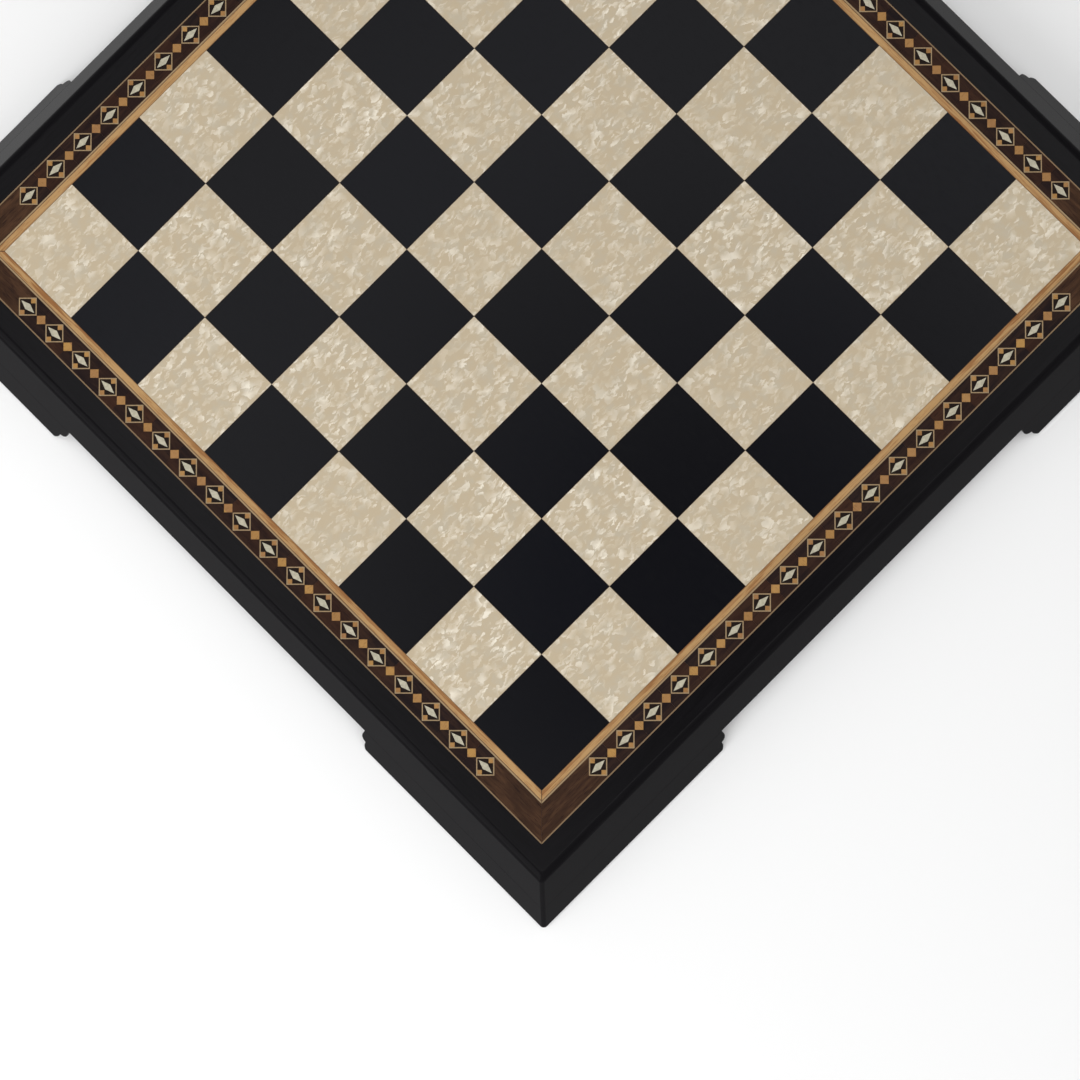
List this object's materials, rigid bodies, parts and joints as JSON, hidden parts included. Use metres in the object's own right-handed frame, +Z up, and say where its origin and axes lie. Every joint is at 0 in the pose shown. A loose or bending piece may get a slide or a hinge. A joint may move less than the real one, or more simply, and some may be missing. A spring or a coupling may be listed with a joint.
{
  "type": "chess board",
  "caption": "Square chess board with an inlaid pearl and ebony field, a marquetry border of diamonds and a black moulded frame on bracket feet.",
  "frame": {"origin": "on the table, under the middle of the board", "axes": "+Z up, -Y towards the first player, +X to that player's right; the near left square is a dark one"},
  "size_m": [0.5052, 0.5052, 0.0363],
  "materials": {
    "ebonised_frame": "black stained hardwood under a smooth satin lacquer",
    "dark_square": "bluish black dyed veneer, satin lacquer",
    "pearl_square": "cream imitation pearl with shimmering angular flakes",
    "oak_strip": "tan open-grained strip with reddish streaks, satin",
    "pale_line": "pale maple stringing, satin",
    "walnut_ground": "walnut and rosewood pieces of mixed tones, satin",
    "tan_wood": "golden tan pieces, satin",
    "marquetry_pearl": "pale pearl, glossy",
    "core_board": "plain fibreboard",
    "backing_veneer": "plain brown balancing veneer, matt",
    "softwood": "sawn pale softwood",
    "screw_metal": "turned brass, slightly dull",
    "felt": "dark green pressed felt"
  },
  "bodies": {
    "root": {"backing_veneer": "backing_veneer", "core_panel": "core_board", "corner_foot_back_left": "ebonised_frame", "corner_foot_back_right": "ebonised_frame", "corner_foot_front_left": "ebonised_frame", "corner_foot_front_right": "ebonised_frame", "dark_squares_rank_1": "dark_square", "dark_squares_rank_2": "dark_square", "dark_squares_rank_3": "dark_square", "dark_squares_rank_4": "dark_square", "dark_squares_rank_5": "dark_square", "dark_squares_rank_6": "dark_square", "dark_squares_rank_7": "dark_square", "dark_squares_rank_8": "dark_square", "diamond_outlines_back": "pale_line", "diamond_outlines_front": "pale_line", "diamond_outlines_left": "pale_line", "diamond_outlines_right": "pale_line", "diamond_pearls_back": "marquetry_pearl", "diamond_pearls_front": "marquetry_pearl", "diamond_pearls_left": "marquetry_pearl", "diamond_pearls_right": "marquetry_pearl", "felt_pads": "felt", "foot_glue_blocks": "softwood", "foot_screws": "screw_metal", "frame_rail_back": "ebonised_frame", "frame_rail_front": "ebonised_frame", "frame_rail_left": "ebonised_frame", "frame_rail_right": "ebonised_frame", "inner_line_back": "pale_line", "inner_line_front": "pale_line", "inner_line_left": "pale_line", "inner_line_right": "pale_line", "marquetry_ground_back": "walnut_ground", "marquetry_ground_front": "walnut_ground", "marquetry_ground_left": "walnut_ground", "marquetry_ground_right": "walnut_ground", "mitre_splines": "softwood", "oak_strip_back": "oak_strip", "oak_strip_front": "oak_strip", "oak_strip_left": "oak_strip", "oak_strip_right": "oak_strip", "outer_line_back": "pale_line", "outer_line_front": "pale_line", "outer_line_left": "pale_line", "outer_line_right": "pale_line", "pearl_squares_rank_1": "pearl_square", "pearl_squares_rank_2": "pearl_square", "pearl_squares_rank_3": "pearl_square", "pearl_squares_rank_4": "pearl_square", "pearl_squares_rank_5": "pearl_square", "pearl_squares_rank_6": "pearl_square", "pearl_squares_rank_7": "pearl_square", "pearl_squares_rank_8": "pearl_square", "tan_lozenges_back": "tan_wood", "tan_lozenges_front": "tan_wood", "tan_lozenges_left": "tan_wood", "tan_lozenges_right": "tan_wood"}
  },
  "joints": []
}
